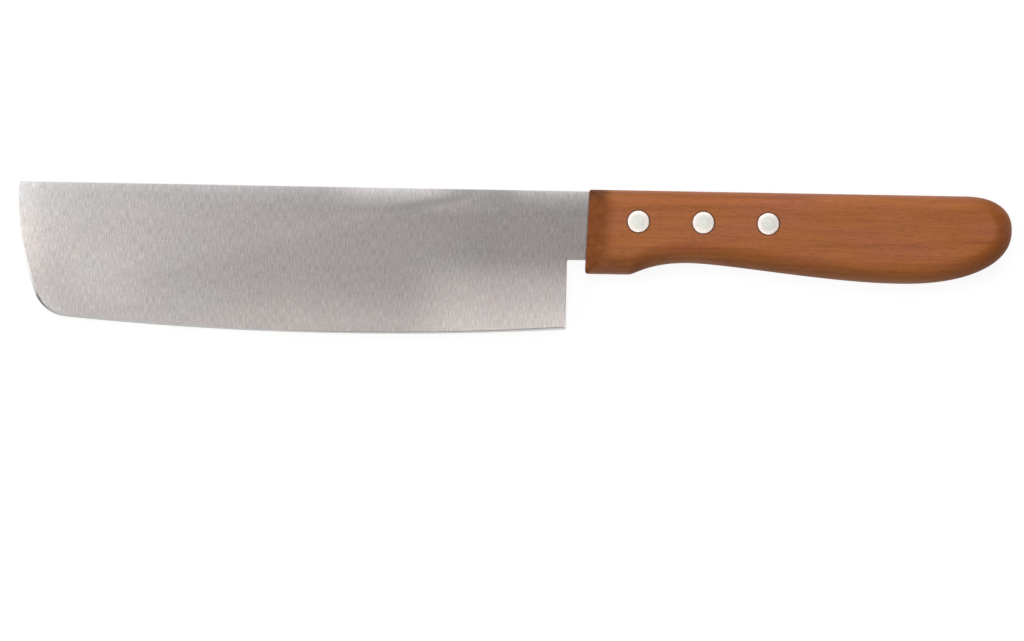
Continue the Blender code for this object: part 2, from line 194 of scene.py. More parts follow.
def turned(name, profile, centre):
    """Carry a profile of (radius, height) round an upright axis: (r cos a, r sin a, height)."""
    angle = np.arange(ROUND_SIDES) * (2 * math.pi / ROUND_SIDES)
    radius, height = (part[:, None] for part in profile.T)
    grid = np.stack(np.broadcast_arrays(centre[0] + radius * np.cos(angle),
                                        centre[1] + radius * np.sin(angle), height), axis=-1)
    return shell(name, grid)


def placed(name, data):
    """An object in the scene that shows a mesh, a lamp or a camera."""
    piece = bpy.data.objects.new(name, data)
    bpy.context.scene.collection.objects.link(piece)
    return piece


def cut(mesh, tools, sharp_angle):
    """The mesh with each tool's shape taken out of it."""
    work = placed(mesh.name, mesh)
    blocks = [placed(tool.name, tidied(tool, sharp_angle)) for tool in tools]
    for block in blocks:
        boolean = work.modifiers.new(block.name, "BOOLEAN")
        boolean.operation = "DIFFERENCE"
        boolean.solver = "EXACT"
        boolean.object = block
    bpy.context.view_layer.update()
    result = bpy.data.meshes.new_from_object(work.evaluated_get(bpy.context.evaluated_depsgraph_get()))
    name = mesh.name
    for item in (work, *blocks):
        bpy.data.meshes.remove(item.data)
    result.name = name
    return tidied(result, sharp_angle)


# %% [markdown]
# The blade's outline is one closed line. To lay a grid over it, the line is cut at two points, the
# front end of the spine and the far end of the tang, which leaves an edge side and a spine side. Both
# are walked at the same pace, and each column of the grid runs straight from one to the other. That
# takes the grid round the tall heel and down into the narrow neck without a fold, which columns
# at a fixed X could not do.

# %% Blade outline
BLADE_REACH = 0.1722          # handle front to the foremost point of the rounded end
BLADE_DEPTH = 0.04415         # spine to the lowest point of the belly
FRONT_RADIUS = 0.084          # large arc of the rounded end
FRONT_CREST = 0.004           # how far below the spine that arc reaches foremost
BELLY_RADIUS = 0.98           # long arc of the cutting edge
BELLY_LOW = 0.074             # distance in front of the handle of the belly's lowest point
TIP_CORNER = 0.011            # radius between the rounded end and the belly
SPINE_CORNER = 0.0008         # small radius at the front end of the spine
HEEL_SETBACK = 0.00645        # gap between the heel and the handle
HEEL_CORNER = 0.0005          # radius that breaks the heel's lower corner
NECK_DROP = 0.0208            # height of the neck that enters the handle
NOTCH_RADIUS = 0.0006         # inner corner between heel and neck
TANG_END = 0.0599             # handle front to the far end of the tang
TANG_END_DROP = 0.0136        # lower edge of the tang at its far end
TANG_CORNER = 0.005           # radius of the far end's lower corner
TANG_TOP_CORNER = 0.0003      # radius of its upper corner
TANG_STEP = 0.0010            # length over which the tang's top rises to the wood's

front = (FRONT_RADIUS - BLADE_REACH, -FRONT_CREST)
belly = (-BELLY_LOW, BELLY_RADIUS - BLADE_DEPTH)


def touching_centre(radius):
    """Centre of a circle of this radius in the corner of the front and belly arcs, touching both: it
    lies as far from each arc's centre as their radii differ."""
    front_reach, belly_reach = FRONT_RADIUS - radius, BELLY_RADIUS - radius
    apart = math.dist(front, belly)
    along = (front_reach ** 2 - belly_reach ** 2 + apart ** 2) / (2 * apart)
    aside = math.sqrt(front_reach ** 2 - along ** 2)
    way = ((belly[0] - front[0]) / apart, (belly[1] - front[1]) / apart)
    return (front[0] + way[0] * along - way[1] * aside, front[1] + way[1] * along + way[0] * aside)


def angle_at(centre, point):
    """Direction from a centre to a point, from 0 to a full turn."""
    return math.atan2(point[1] - centre[1], point[0] - centre[0]) % (4 * QUARTER)


tip = touching_centre(TIP_CORNER)
front_end = angle_at(front, tip)
belly_start = angle_at(belly, tip)
print("tip corner centred at", np.round(np.multiply(tip, 1000), 2), "mm")

# %% [markdown]
# Each stretch of the edge side is listed beside the place that the spine side has reached by its
# end, and both get the same number of points. The stretches are short where the outline turns, so
# the columns crowd into the small corners and spread out along the belly.

# %% Walk both sides of the blade
front_top = 2 * QUARTER - math.asin((FRONT_CREST - SPINE_CORNER) / FRONT_RADIUS)
spine_corner = (front[0] + FRONT_RADIUS * math.cos(front_top) + SPINE_CORNER, -SPINE_CORNER)
heel_end = 3 * QUARTER + math.asin((BELLY_LOW - HEEL_SETBACK - HEEL_CORNER) / BELLY_RADIUS)
heel = (-HEEL_SETBACK - HEEL_CORNER, belly[1] + BELLY_RADIUS * math.sin(heel_end) + HEEL_CORNER)
notch = (-HEEL_SETBACK + NOTCH_RADIUS, -NECK_DROP - NOTCH_RADIUS)
tang_slope = (NECK_DROP - TANG_END_DROP) / TANG_END
tang_corner = (TANG_END - TANG_CORNER, tang_slope * (TANG_END - TANG_CORNER) - NECK_DROP + TANG_CORNER)
top_corner = (TANG_END - TANG_TOP_CORNER, HANDLE_PROUD - TANG_TOP_CORNER)
spine_end = (spine_corner[0], 0)

split = 1.5 * QUARTER         # where the two sides part in the spine's front corner
STEP_POINTS = 2               # on the step up from the spine to the tang's top
TANG_LAST = 0.001             # last stretch of the tang's top, opposite its far end
BLADE_POINTS = {"corner": 5, "front": 44, "tip": 30, "belly": 190, "heel": 6, "wall": 26, "notch": 6,
                "neck": 8, "tang": 24, "tang_corner": 8, "tang_wall": 8,
                "top_corner": 4}              # on each stretch of the two sides

edge_side = join(
    bend(spine_corner, SPINE_CORNER, split, 2 * QUARTER, BLADE_POINTS["corner"]),
    bend(front, FRONT_RADIUS, front_top, front_end, BLADE_POINTS["front"]),
    bend(tip, TIP_CORNER, front_end, belly_start, BLADE_POINTS["tip"]),
    bend(belly, BELLY_RADIUS, belly_start, heel_end, BLADE_POINTS["belly"]),
    bend(heel, HEEL_CORNER, -QUARTER, 0, BLADE_POINTS["heel"]),
    line((-HEEL_SETBACK, heel[1]), (-HEEL_SETBACK, notch[1]), BLADE_POINTS["wall"]),
    bend(notch, NOTCH_RADIUS, 2 * QUARTER, QUARTER, BLADE_POINTS["notch"]),
    line((notch[0], -NECK_DROP), (0, -NECK_DROP), BLADE_POINTS["neck"]),
    line((0, -NECK_DROP), (tang_corner[0], tang_corner[1] - TANG_CORNER), BLADE_POINTS["tang"]),
    bend(tang_corner, TANG_CORNER, -QUARTER, 0, BLADE_POINTS["tang_corner"]),
    line((TANG_END, tang_corner[1]), (TANG_END, top_corner[1]), BLADE_POINTS["tang_wall"]),
    bend(top_corner, TANG_TOP_CORNER, 0, QUARTER / 2, BLADE_POINTS["top_corner"]))[0]

spine_stops = [("front", -0.1640), ("tip", -0.1570), ("belly", -0.0120), ("heel", -0.0115),
               ("wall", -0.0065), ("notch", -0.0060), ("neck", 0.0)]
spine_runs = []
for stretch, stop in spine_stops:
    spine_runs.append(line(spine_end, (stop, 0), BLADE_POINTS[stretch]))
    spine_end = (stop, 0)
tang_top = [(x, HANDLE_PROUD) for x in (TANG_STEP, tang_corner[0], TANG_END - TANG_LAST, top_corner[0])]
tang_points = (STEP_POINTS, BLADE_POINTS["tang"] - STEP_POINTS,
               BLADE_POINTS["tang_corner"], BLADE_POINTS["tang_wall"])
spine_side = join(
    bend(spine_corner, SPINE_CORNER, split, QUARTER, BLADE_POINTS["corner"]),
    *spine_runs,
    *(line(*run) for run in zip([(0, 0), *tang_top], tang_top, tang_points)),
    bend(top_corner, TANG_TOP_CORNER, QUARTER, QUARTER / 2, BLADE_POINTS["top_corner"]))[0]

shared_start = np.array([math.cos(split), math.sin(split)]) * SPINE_CORNER + spine_corner
edge_side, spine_side = (np.vstack([shared_start, side]) for side in (edge_side, spine_side))
widest = float(np.linalg.norm(edge_side - spine_side, axis=1).max())
print(len(edge_side), "columns, the sides", round(widest * 1000, 2), "mm apart at most")

# %% [markdown]
# The steel is ground on both sides, and the section is a wedge from the spine to the edge. Towards
# the front a second, flatter plane thins the spine, and the two planes meet in the faint crease that
# runs down the blade. A smooth minimum of the two heights gives that crease a soft line, as a
# grinding wheel does. Near the handle the wedge swells back to the full thickness of the neck.
#
# No thin grind is quite flat. In its lower half the wedge rolls a little towards the edge, most of
# all above the heel, and the rounded front is eased in the same way. Each roll is a fraction of a
# millimetre deep, but on a surface that mirrors its lamps it is what draws the light.

# %% Grind the faces
BLADE_THICK = 0.0020          # steel left full at the neck and the tang
BEHIND_EDGE = 0.00033         # thickness behind the cutting edge, where the belly is lowest
TIP_THICK = 0.00077           # spine thickness at the foremost point
TAPER_START = 0.027           # distance in front of the handle where the spine starts to thin
NECK_FULLNESS = 1.2           # how much the section swells from a straight wedge at the neck
GRIND_RUNOUT = 0.006          # length inside the wood over which the ground wedge fades out
CREASE = 0.00002              # how far the smooth minimum departs from the two planes
HOLLOW_SLOPE = 0.030          # slope of the taper's slight hollow where it meets the wedge
HOLLOW_WIDTH = 0.012          # width from which the hollow gets no deeper
ROLL_START = 0.45             # share of the depth below which the face rolls towards the edge
ROLL_SOFTNESS = 0.30          # how slowly that roll sets in, as a share of its own depth
ROLL_FALL = 0.00060           # part of the wedge's fall that the roll takes above the heel
ROLL_FORWARD = 0.42           # how much of it is left further forward
ROLL_FADE = (0.036, 0.056)    # distances in front of the handle between which it drops to that
FRONT_ROLL = 0.007            # width of the roll along the rounded front
FRONT_FALL = 0.00038          # thickness that it takes at the front itself
SPINE_ROLL = 0.0026           # width of the roll along the spine
SPINE_FALL = 0.00007          # thickness that it takes at the spine


def eased(value, low, high):
    """0 below low, 1 above high, and between them t^2 (3 - 2 t) for the share t of the way."""
    t = np.clip((value - low) / (high - low), 0, 1)
    return t ** 2 * (3 - 2 * t)


def rolled_off(past):
    """The share of a roll's fall at a share of its depth: a hyperbola, level at first and straight
    later, sqrt(p^2 + s^2) - s, scaled to reach 1."""
    return (np.hypot(past, ROLL_SOFTNESS) - ROLL_SOFTNESS) / (math.hypot(1, ROLL_SOFTNESS) - ROLL_SOFTNESS)


def half_thickness(x, y):
    """Half of the lesser of wedge and taper. The wedge falls from the spine with the depth to the
    power 1 + fullness, and then with its roll. The taper falls along the blade, less a hollow
    s (1 - s) between the spine and the crease. Their smooth minimum is
    (a + b + c - sqrt((a - b)^2 + c^2)) / 2, and the rolls along the front and the spine then take
    off the square of the way into them."""
    depth = np.maximum(-y, 0) / BLADE_DEPTH
    ahead = np.maximum(-x, 0)
    fullness = 1 + NECK_FULLNESS * np.maximum(1 - ahead / TAPER_START, 0) ** 2
    ground = np.clip(1 - x / GRIND_RUNOUT, 0, 1)
    roll_fall = ROLL_FALL * (1 - (1 - ROLL_FORWARD) * eased(ahead, *ROLL_FADE))
    straight_fall = BLADE_THICK - BEHIND_EDGE - roll_fall
    roll = roll_fall * rolled_off(np.maximum(depth - ROLL_START, 0) / (1 - ROLL_START))
    wedge = BLADE_THICK - ground * (straight_fall * depth ** fullness + roll)
    per_metre = (BLADE_THICK - TIP_THICK) / (BLADE_REACH - TAPER_START)
    loss = per_metre * np.maximum(ahead - TAPER_START, 0)
    crease_depth = np.maximum(loss / straight_fall, 1e-6)
    share = np.clip(depth / crease_depth, 0, 1)
    hollow = HOLLOW_SLOPE / 2 * np.minimum(crease_depth * BLADE_DEPTH, HOLLOW_WIDTH) * share * (1 - share)
    taper = BLADE_THICK - loss - hollow
    ground_flat = (wedge + taper + CREASE - np.sqrt((wedge - taper) ** 2 + CREASE ** 2)) / 2
    from_front = FRONT_RADIUS - np.hypot(np.minimum(x - front[0], 0), y - front[1])
    front_roll = FRONT_FALL * np.maximum(1 - from_front / FRONT_ROLL, 0) ** 2
    spine_roll = SPINE_FALL * ground * np.maximum(1 + y / SPINE_ROLL, 0) ** 2
    return (ground_flat - front_roll - spine_roll) / 2


thickness = half_thickness(np.array([-0.15, -0.10, -0.05, 0]), np.full(4, -0.02)) * 2
print("steel 20 mm below the spine, from front to neck:", np.round(thickness * 1000, 2), "mm")

# %% [markdown]
# The sharpened bevel has one angle everywhere, so it is wider where the steel behind it is thicker.
# Towards the heel a strop has eased its upper quarter to a flatter strip, which mirrors the dark gap
# between the lamps and draws a fine dark line above the bright bevel. Further forward that strip
# runs out and the bevel stays crisp. The bevel fades out up the rounded front and stops at the heel.
# Every other edge of the steel is only eased, with a rounding of a tenth of a millimetre, and that
# catches the thin bright lines by which the eye knows metal.

# %% Sharpen the edge and ease the rest
EDGE_ANGLE = math.radians(15) # sharpening angle on each side
EDGE_LAND = 0.00002           # flat left on the cutting edge itself
EASE = 0.00008                # rounding of the edges that aren't sharpened
SHOULDER = 0.25               # share of the bevel's width that a strop has eased
SHOULDER_ANGLE = math.radians(9)
SHOULDER_FADE = (0.070, 0.105)    # distances in front of the handle between which it fades out
RIM = np.array([0, 0.15, 0.35, 0.55, 0.75, 0.90, 1])[:, None]   # from the outline to the ground face

front_angles = front_top + (front_end - front_top) * steps(BLADE_POINTS["front"])
sharpened = np.concatenate([
    np.zeros(1 + BLADE_POINTS["corner"]),
    np.clip((front_angles - 2 * QUARTER) / (front_end - 2 * QUARTER), 0, 1),
    np.ones(BLADE_POINTS["tip"] + BLADE_POINTS["belly"]),
    1 - steps(BLADE_POINTS["heel"])])
sharpened = np.pad(sharpened, (0, len(edge_side) - len(sharpened)))

bevel_width = (half_thickness(*edge_side.T) - EDGE_LAND / 2) / math.tan(EDGE_ANGLE)
edge_rim = np.maximum(sharpened * bevel_width, EASE)
rounding_off = EASE * (1 - np.sqrt(1 - (1 - RIM) ** 2))
shoulder_fall = SHOULDER * math.tan(SHOULDER_ANGLE) / math.tan(EDGE_ANGLE)
eased_bevel = np.interp(1 - RIM, (0, SHOULDER, 1), (0, shoulder_fall, 1))
crisp = eased(-edge_side[:, 0], *SHOULDER_FADE)
bevelling_off = eased_bevel + crisp * (1 - RIM - eased_bevel)
print("bevel", round(float(bevel_width[sharpened == 1].min()) * 1000, 2), "to",
      round(float(bevel_width[sharpened == 1].max()) * 1000, 2), "mm wide")

# %% [markdown]
# The rims follow the outline at a fixed distance, along its inward normal, and the rows between them
# are shared out along each column. The upper half of the grid then gets its height from the grind,
# and the lower half mirrors it.

# %% Lay the blade's grid
FACE_ROWS = 64
CROWDING = 0.6                # how far the rows draw together at the spine and at the edge

outline = np.vstack([edge_side, spine_side[-2:0:-1]])
along = np.roll(outline, -1, axis=0) - np.roll(outline, 1, axis=0)
along /= np.linalg.norm(along, axis=1, keepdims=True)
inward = np.column_stack([-along[:, 1], along[:, 0]])
edge_inward = inward[:len(edge_side)]
spine_inward = np.vstack([inward[0], inward[:len(edge_side) - 1:-1], edge_inward[-1]])

edge_rows = edge_side + edge_inward * (RIM * edge_rim)[..., None]
spine_rows = spine_side + spine_inward * (RIM * np.full(len(spine_side), EASE))[..., None]
even = np.linspace(0, 1, FACE_ROWS)[1:-1, None, None]
across = even - CROWDING * np.sin(2 * math.pi * even) / (2 * math.pi)
face_rows = spine_rows[-1] + (edge_rows[-1] - spine_rows[-1]) * across

spine_height = half_thickness(*spine_rows[-1].T) - rounding_off
edge_start = half_thickness(*edge_rows[-1].T)
edge_drop = sharpened * bevelling_off * (edge_start - EDGE_LAND / 2) + (1 - sharpened) * rounding_off
height = np.vstack([spine_height, half_thickness(*np.moveaxis(face_rows, -1, 0)),
                    (edge_start - edge_drop)[::-1]])
upper = np.concatenate([np.vstack([spine_rows, face_rows, edge_rows[::-1]]), height[..., None]], axis=-1)
blade_grid = np.concatenate([upper, upper[::-1] * (1, 1, -1)]).transpose(1, 0, 2)
print("blade grid:", blade_grid.shape[0], "columns of", blade_grid.shape[1], "points")

# %% [markdown]
# The three holes in the tang are drilled through the grid before the piece is finished. They can't
# be seen, but the printed or exported steel should fit its rivets. A mark on each face says which of
# them belong to the bevel, for the steel's finish to read.

# %% Make the blade
FIRST_RIVET = 0.0147          # centre of the front rivet, from the handle's front
RIVET_PITCH = 0.0195
RIVET_DROP = 0.0090           # rivet centres below the spine line
BARREL_DIAMETER = 0.0045
HOLE_GAP = 0.00005            # a snug hole round each barrel
BLADE_SHARP = math.radians(6)

rivet_places = [(FIRST_RIVET + RIVET_PITCH * i, -RIVET_DROP) for i in range(3)]


def drill(name, radius, half_length, centre):
    """A cylinder for cutting a hole: a turned rectangle."""
    profile = np.array([(0, 1), (1, 1), (1, -1), (0, -1)]) * (radius, half_length)
    return turned(name, profile, centre)


blade = shell("satin_blade", blade_grid)
bevel_faces = np.zeros((len(blade_grid) - 1, blade_grid.shape[1]), np.float32)
edge_top = len(upper) - 1
bevel_columns = (sharpened[:-1] + sharpened[1:])[:, None] / 2
bevel_faces[:, edge_top - len(RIM) + 1:edge_top + len(RIM)] = bevel_columns
blade.attributes.new("sharpened", "FLOAT", "FACE").data.foreach_set("value", bevel_faces.ravel())
blade = tidied(blade, BLADE_SHARP)
blade = cut(blade, [drill(f"tang_drill_{i}", BARREL_DIAMETER / 2 + HOLE_GAP, BLADE_THICK, place)
                    for i, place in enumerate(rivet_places)], BLADE_SHARP)

# %% [markdown]
# The handle is one piece of wood. Seen from the side it has a straight top, a short chin, a finger
# groove, a palm swell and a rounded butt. The outline is drawn once, as a function of how far each
# side of it has been drawn in, so that it can serve for every layer of the rounding.

# %% Handle outline
WOOD_UNDER_NECK = 0.0041      # wood left below the neck at the handle's front
FRONT_SLANT = 0.0009          # how far the foot of the front face leans towards the blade
FRONT_CORNER = 0.0005         # radius of the front face's upper corner
CORNER_GROWTH = 0.5           # how fast that radius grows as the top edges round over
FOOT_CORNER = 0.0010          # least radius of its lower corner
CHIN_LENGTH = 0.0126          # straight stretch below the front, before the finger groove
CHIN_SOFTNESS = 0.0012        # reach of the soft corner at the end of that stretch
CHIN_SLOPE = 0.38             # slope of the wood as it leaves the chin
CHIN_LEAD = 0.0024            # how long the wood keeps that slope
GROOVE_AT = 0.0305            # deepest point of the finger groove, from the front
GROOVE_RISE = 0.0038          # depth of the groove above the chin's line
GROOVE_PULL = 0.010           # how long the groove stays level on its front side
SWELL_FALL = 0.0013           # palm swell below the chin's line
SWELL_FROM_BUTT = 0.0334      # lowest point of the palm swell, from the butt
PALM_PULL_FRONT = 0.012       # how long the groove stays level on its rear side
PALM_PULL_REAR = 0.022        # how long the swell stays level on its front side
BUTT_CREST = 0.0098           # rearmost point of the butt, below the spine line
BUTT_TOP_REACH = 0.0145       # where the top starts to fall, from the butt
BUTT_TOP_FULLNESS = 2.35      # exponent of the butt's upper quarter, 2 being an ellipse
BUTT_FOOT_FULLNESS = 2.2      # and of its lower quarter
CHIN_DROP = NECK_DROP + WOOD_UNDER_NECK
SWELL_AT = HANDLE_LENGTH - SWELL_FROM_BUTT
TOP_END = HANDLE_LENGTH - BUTT_TOP_REACH
WOOD_POINTS = {"corner": 8, "front": 24, "chin": 12, "groove": 30, "palm": 70,
               "butt_foot": 44, "butt_top": 30, "top": 90}     # on each stretch of the outline


def handle_outline(top, foot, butt, front):
    """The outline drawn in by four columns of distances: corners, straight lines, two cubic curves
    for groove and swell, and two squarish quarter ellipses for the butt."""
    high, low = HANDLE_PROUD - top, foot - CHIN_DROP
    radius = FRONT_CORNER + CORNER_GROWTH * top
    lower = np.maximum(radius, FOOT_CORNER)
    high_front, low_front = (front + FRONT_SLANT * y / CHIN_DROP for y in (high, low))
    chin_start, chin = (CHIN_LENGTH - CHIN_SOFTNESS, low), (CHIN_LENGTH, low)
    chin_end = (CHIN_LENGTH + CHIN_SOFTNESS, low + CHIN_SLOPE * CHIN_SOFTNESS)
    groove, swell = (GROOVE_AT, low + GROOVE_RISE), (SWELL_AT, low - SWELL_FALL)
    return join(
        bend((high_front + radius, high - radius), radius, QUARTER, 2 * QUARTER, WOOD_POINTS["corner"]),
        line((high_front, high - radius), (low_front, low + lower), WOOD_POINTS["front"]),
        bend((low_front + lower, low + lower), lower, 2 * QUARTER, 3 * QUARTER, WOOD_POINTS["corner"]),
        line((low_front + lower, low), chin_start, WOOD_POINTS["chin"]),
        bezier(chin_start, chin, chin, chin_end, WOOD_POINTS["corner"]),
        bezier(chin_end, (chin_end[0] + CHIN_LEAD, chin_end[1] + CHIN_SLOPE * CHIN_LEAD),
               (GROOVE_AT - GROOVE_PULL, groove[1]), groove, WOOD_POINTS["groove"]),
        bezier(groove, (GROOVE_AT + PALM_PULL_FRONT, groove[1]),
               (SWELL_AT - PALM_PULL_REAR, swell[1]), swell, WOOD_POINTS["palm"]),
        arc((SWELL_AT, -BUTT_CREST), (SWELL_FROM_BUTT - butt, -BUTT_CREST - swell[1]),
            -QUARTER, 0, WOOD_POINTS["butt_foot"], BUTT_FOOT_FULLNESS),
        arc((TOP_END, -BUTT_CREST), (BUTT_TOP_REACH - butt, high + BUTT_CREST),
            0, QUARTER, WOOD_POINTS["butt_top"], BUTT_TOP_FULLNESS),
        line((TOP_END, high), (high_front + radius, high), WOOD_POINTS["top"]))


bare = np.zeros((1, 1))
side = handle_outline(bare, bare, bare, bare)[0]
print("handle outline:", len(side), "points,", np.round(np.ptp(side, axis=0) * 1000, 1), "mm")

# %% [markdown]
# Seen from its end the handle is rounded, but not alike all round: the underside, which the fingers
# close on, is rounded further than the top, and the front end further still. Each rounding is a
# quarter ellipse in the layer's height, ending on the flat side. One more ring, just inside the
# flat, keeps the rounding's shading from bleeding into it.

# %% Handle layers
ROUND_DEEP = 0.0065           # rounding of the edges, measured through the thickness
ROUND_TOP = 0.0044            # rounding of the top edges, measured on the flat side
ROUND_FOOT = 0.0070           # rounding of the lower edges
ROUND_BUTT = 0.0062           # rounding of the butt
FRONT_ROUND_LONG = 0.0085     # rounding of the front end, measured along the handle
FRONT_ROUND_DEEP = 0.0048     # and measured through the thickness
FLAT_RING = 0.0004            # distance of the last ring from the end of the rounding
ROUND_LAYERS = 22
FLANK_LAYERS = 3


def drawn_in(level, reach, deep):
    """How far an edge has drawn in at a height: reach (1 - sqrt(1 - rise^2)), where the rise goes
    from 0 to 1 over the last stretch below the flat side."""
    rise = np.maximum(1 - (HALF_HANDLE - level) / deep, 0)
    return reach * (1 - np.sqrt(1 - rise ** 2))


flank = (HALF_HANDLE - ROUND_DEEP) * np.arange(FLANK_LAYERS) / FLANK_LAYERS
rise = np.sin(np.linspace(0, QUARTER, ROUND_LAYERS))
level = np.concatenate([flank, HALF_HANDLE - ROUND_DEEP * (1 - rise)])[:, None]
insets = [drawn_in(level, reach, ROUND_DEEP) for reach in (ROUND_TOP, ROUND_FOOT, ROUND_BUTT)]
insets.append(drawn_in(level, FRONT_ROUND_LONG, FRONT_ROUND_DEEP))
insets = [np.vstack([inset, inset[-1:] + FLAT_RING]) for inset in insets]
level = np.vstack([level, level[-1:]])

plan = handle_outline(*insets)
upper = np.concatenate([plan, np.broadcast_to(level[..., None], (*plan.shape[:2], 1))], axis=-1)
handle_grid = np.concatenate([upper[:0:-1] * (1, 1, -1), upper])
print("handle grid:", handle_grid.shape[0], "rings of", handle_grid.shape[1], "points")

# %% [markdown]
# The saw slot and the rivet holes are cut last, as on the bench. The slot fits the tang closely,
# so that only a hairline of shadow shows between steel and wood. Each hole is wide near the sides
# for the rivet's head and narrow inside for its barrel.

# %% Saw the slot and drill the handle
HEAD_DIAMETER = 0.0065
HEAD_THICK = 0.0022
SLOT_GAP = 0.00006            # between the tang and the wood
HEAD_GAP = 0.00018            # round each rivet head
CUT_PAST = 0.002              # how far a tool runs past the wood
HANDLE_SHARP = math.radians(35)


def slot_tool():
    """The tang's outline with the gap round it, open to the front and the top, as a slab."""
    far, corner = TANG_END + SLOT_GAP, TANG_CORNER + SLOT_GAP
    start, roof = -FRONT_SLANT - CUT_PAST, HANDLE_PROUD + CUT_PAST
    floor = -NECK_DROP - SLOT_GAP
    path = join(
        line((start, floor), (0, floor), 2),
        line((0, floor), (tang_corner[0], tang_corner[1] - corner), 1),
        bend(tang_corner, corner, -QUARTER, 0, BLADE_POINTS["tang_corner"]),
        line((far, tang_corner[1]), (far, roof), 1),
        line((far, roof), (start, roof), 1),
        line((start, roof), (start, floor), 1))[0]
    half = BLADE_THICK / 2 + SLOT_GAP
    grid = np.stack([np.column_stack([path, np.full(len(path), z)]) for z in (-half, half)])
    return shell("saw", grid, lids=True)


def counterbore(name, centre):
    """A hole right through with a wide seat at each end: half of its profile, then its mirror."""
    end, seat = HALF_HANDLE + CUT_PAST, HALF_HANDLE - HEAD_THICK - HOLE_GAP
    head, barrel = HEAD_DIAMETER / 2 + HEAD_GAP, BARREL_DIAMETER / 2 + HOLE_GAP
    half = np.array([(0, end), (head, end), (head, seat), (barrel, seat)])
    return turned(name, np.vstack([half, half[::-1] * (1, -1)]), centre)


handle = tidied(shell("oiled_handle", handle_grid, lids=True), HANDLE_SHARP)
handle = cut(handle, [slot_tool(), *(counterbore(f"counterbore_{i}", place)
                                     for i, place in enumerate(rivet_places))], HANDLE_SHARP)

# %% [markdown]
# A cutler's rivet comes in two halves, a solid shank that is pressed into a bored barrel. The heads
# are ground flush together with the wood. A soft belt wears their rims a little more than their
# middles, which leaves a crown of less than a tenth of a millimetre and a soft rim.

# %% Turn the rivets
SHANK_DIAMETER = 0.0025
SHANK_PAST_TANG = 0.0025      # how far the shank reaches beyond the steel
SHANK_CHAMFER = 0.0003
SHANK_GAP = 0.00004           # between shank and bore
HEAD_SOFT = 0.00010           # rounding of the head's rim
HEAD_CROWN = 0.00008          # how far the rim lies below the middle of the head
RIVET_SHARP = math.radians(30)
shank_tip = -BLADE_THICK / 2 - SHANK_PAST_TANG
head_under = HALF_HANDLE - HEAD_THICK


def head_profile():
    """The upper face from the middle outward, falling with the square of the radius, a small
    quarter circle at the rim, and the side."""
    reach, rim = HEAD_DIAMETER / 2 - HEAD_SOFT, HALF_HANDLE - HEAD_CROWN
    face = np.linspace(0, 1, 11)[1:]
    return np.vstack([
        np.column_stack([reach * face, HALF_HANDLE - HEAD_CROWN * face ** 2]),
        join(bend((reach, rim - HEAD_SOFT), HEAD_SOFT, QUARTER, 0, 5),
             line((HEAD_DIAMETER / 2, rim - HEAD_SOFT), (HEAD_DIAMETER / 2, head_under), 2))[0]])


def male_profile():
    """Head and solid shank, with the shank's chamfered tip."""
    shank = SHANK_DIAMETER / 2
    stem = [(shank, head_under), (shank, shank_tip + SHANK_CHAMFER), (shank - SHANK_CHAMFER, shank_tip),
            (0, shank_tip)]
    return np.vstack([(0, HALF_HANDLE), head_profile(), stem])


def female_profile():
    """The bore from its floor to its mouth, the barrel's outside, and the head on the lower side."""
    barrel, bore = BARREL_DIAMETER / 2, SHANK_DIAMETER / 2 + SHANK_GAP
    mouth, floor = head_under - SHANK_GAP, shank_tip - SHANK_GAP
    inside = [(0, floor), (bore, floor), (bore, mouth), (barrel, mouth), (barrel, -head_under)]
    return np.vstack([inside, head_profile()[::-1] * (1, -1), (0, -HALF_HANDLE)])


rivets = []
for name, place in zip(("front", "middle", "rear"), rivet_places):
    for half, profile in (("male", male_profile()), ("female", female_profile())):
        mesh = turned(f"flush_rivet_{name}_{half}", profile, place)
        rivets.append((tidied(mesh, RIVET_SHARP), f"rivet_{name}_{half}"))

# %% [markdown]
# A finish is a small tree of nodes. Short helpers keep such trees readable: one adds a node and fills
# its inputs with values or with the outputs of other nodes, and one makes noise whose blotches have a
# given size in metres along each axis, because wood and ground steel both have a direction. A helper
# that is given an output adds its own node to the tree that the output belongs to.

# %% Helpers for nodes


def fill(made, inputs):
    """Fill a node's inputs with values, or link them to the outputs of other nodes."""
    for key, value in inputs.items():
        if isinstance(value, bpy.types.NodeSocket):
            made.id_data.links.new(value, made.inputs[key])
        else:
            made.inputs[key].default_value = value


def node(tree, kind, inputs=(), **settings):
    """Add a node, set its own settings, and fill its inputs. Returns its first output that is on."""
    made = tree.nodes.new(kind)
    for key, value in settings.items():
        setattr(made, key, value)
    fill(made, dict(inputs))
    return next((output for output in made.outputs if output.enabled), None)


def beside(*values, **call):
    """Add a node to the tree of the first output among these values."""
    tree = next(value.id_data for value in values if isinstance(value, bpy.types.NodeSocket))
    return node(tree, **call)


def maths(operation, *values):
    """A sum, product or other operation on numbers."""
    return beside(*values, kind="ShaderNodeMath", inputs=dict(enumerate(values)), operation=operation)


def times(first, *others):
    """The product of two or more numbers."""
    for other in others:
        first = maths("MULTIPLY", first, other)
    return first


def ranged(value, low, high, to_low, to_high, way="LINEAR"):
    """Carry the range low to high over to another range, and hold it there."""
    return node(value.id_data, "ShaderNodeMapRange", {0: value, 1: low, 2: high, 3: to_low, 4: to_high},
                interpolation_type=way)


def soft_ranged(value, *ends):
    """The same, but leaving one end and reaching the other gently: t^2 (3 - 2 t)."""
    return ranged(value, *ends, way="SMOOTHSTEP")


def between(share, first, second):
    """A number between two others, by its share of the way."""
    return node(share.id_data, "ShaderNodeMix", {0: share, 2: first, 3: second})


def raised(relief, depth, strength):
    """The surface's normal, tilted by a relief that is this deep."""
    return node(relief.id_data, "ShaderNodeBump",
                {"Height": relief, "Distance": depth, "Strength": strength})


helpers = (fill, node, beside, maths, times, ranged, soft_ranged, between, raised)
print("helpers for nodes:", ", ".join(helper.__name__ for helper in helpers))

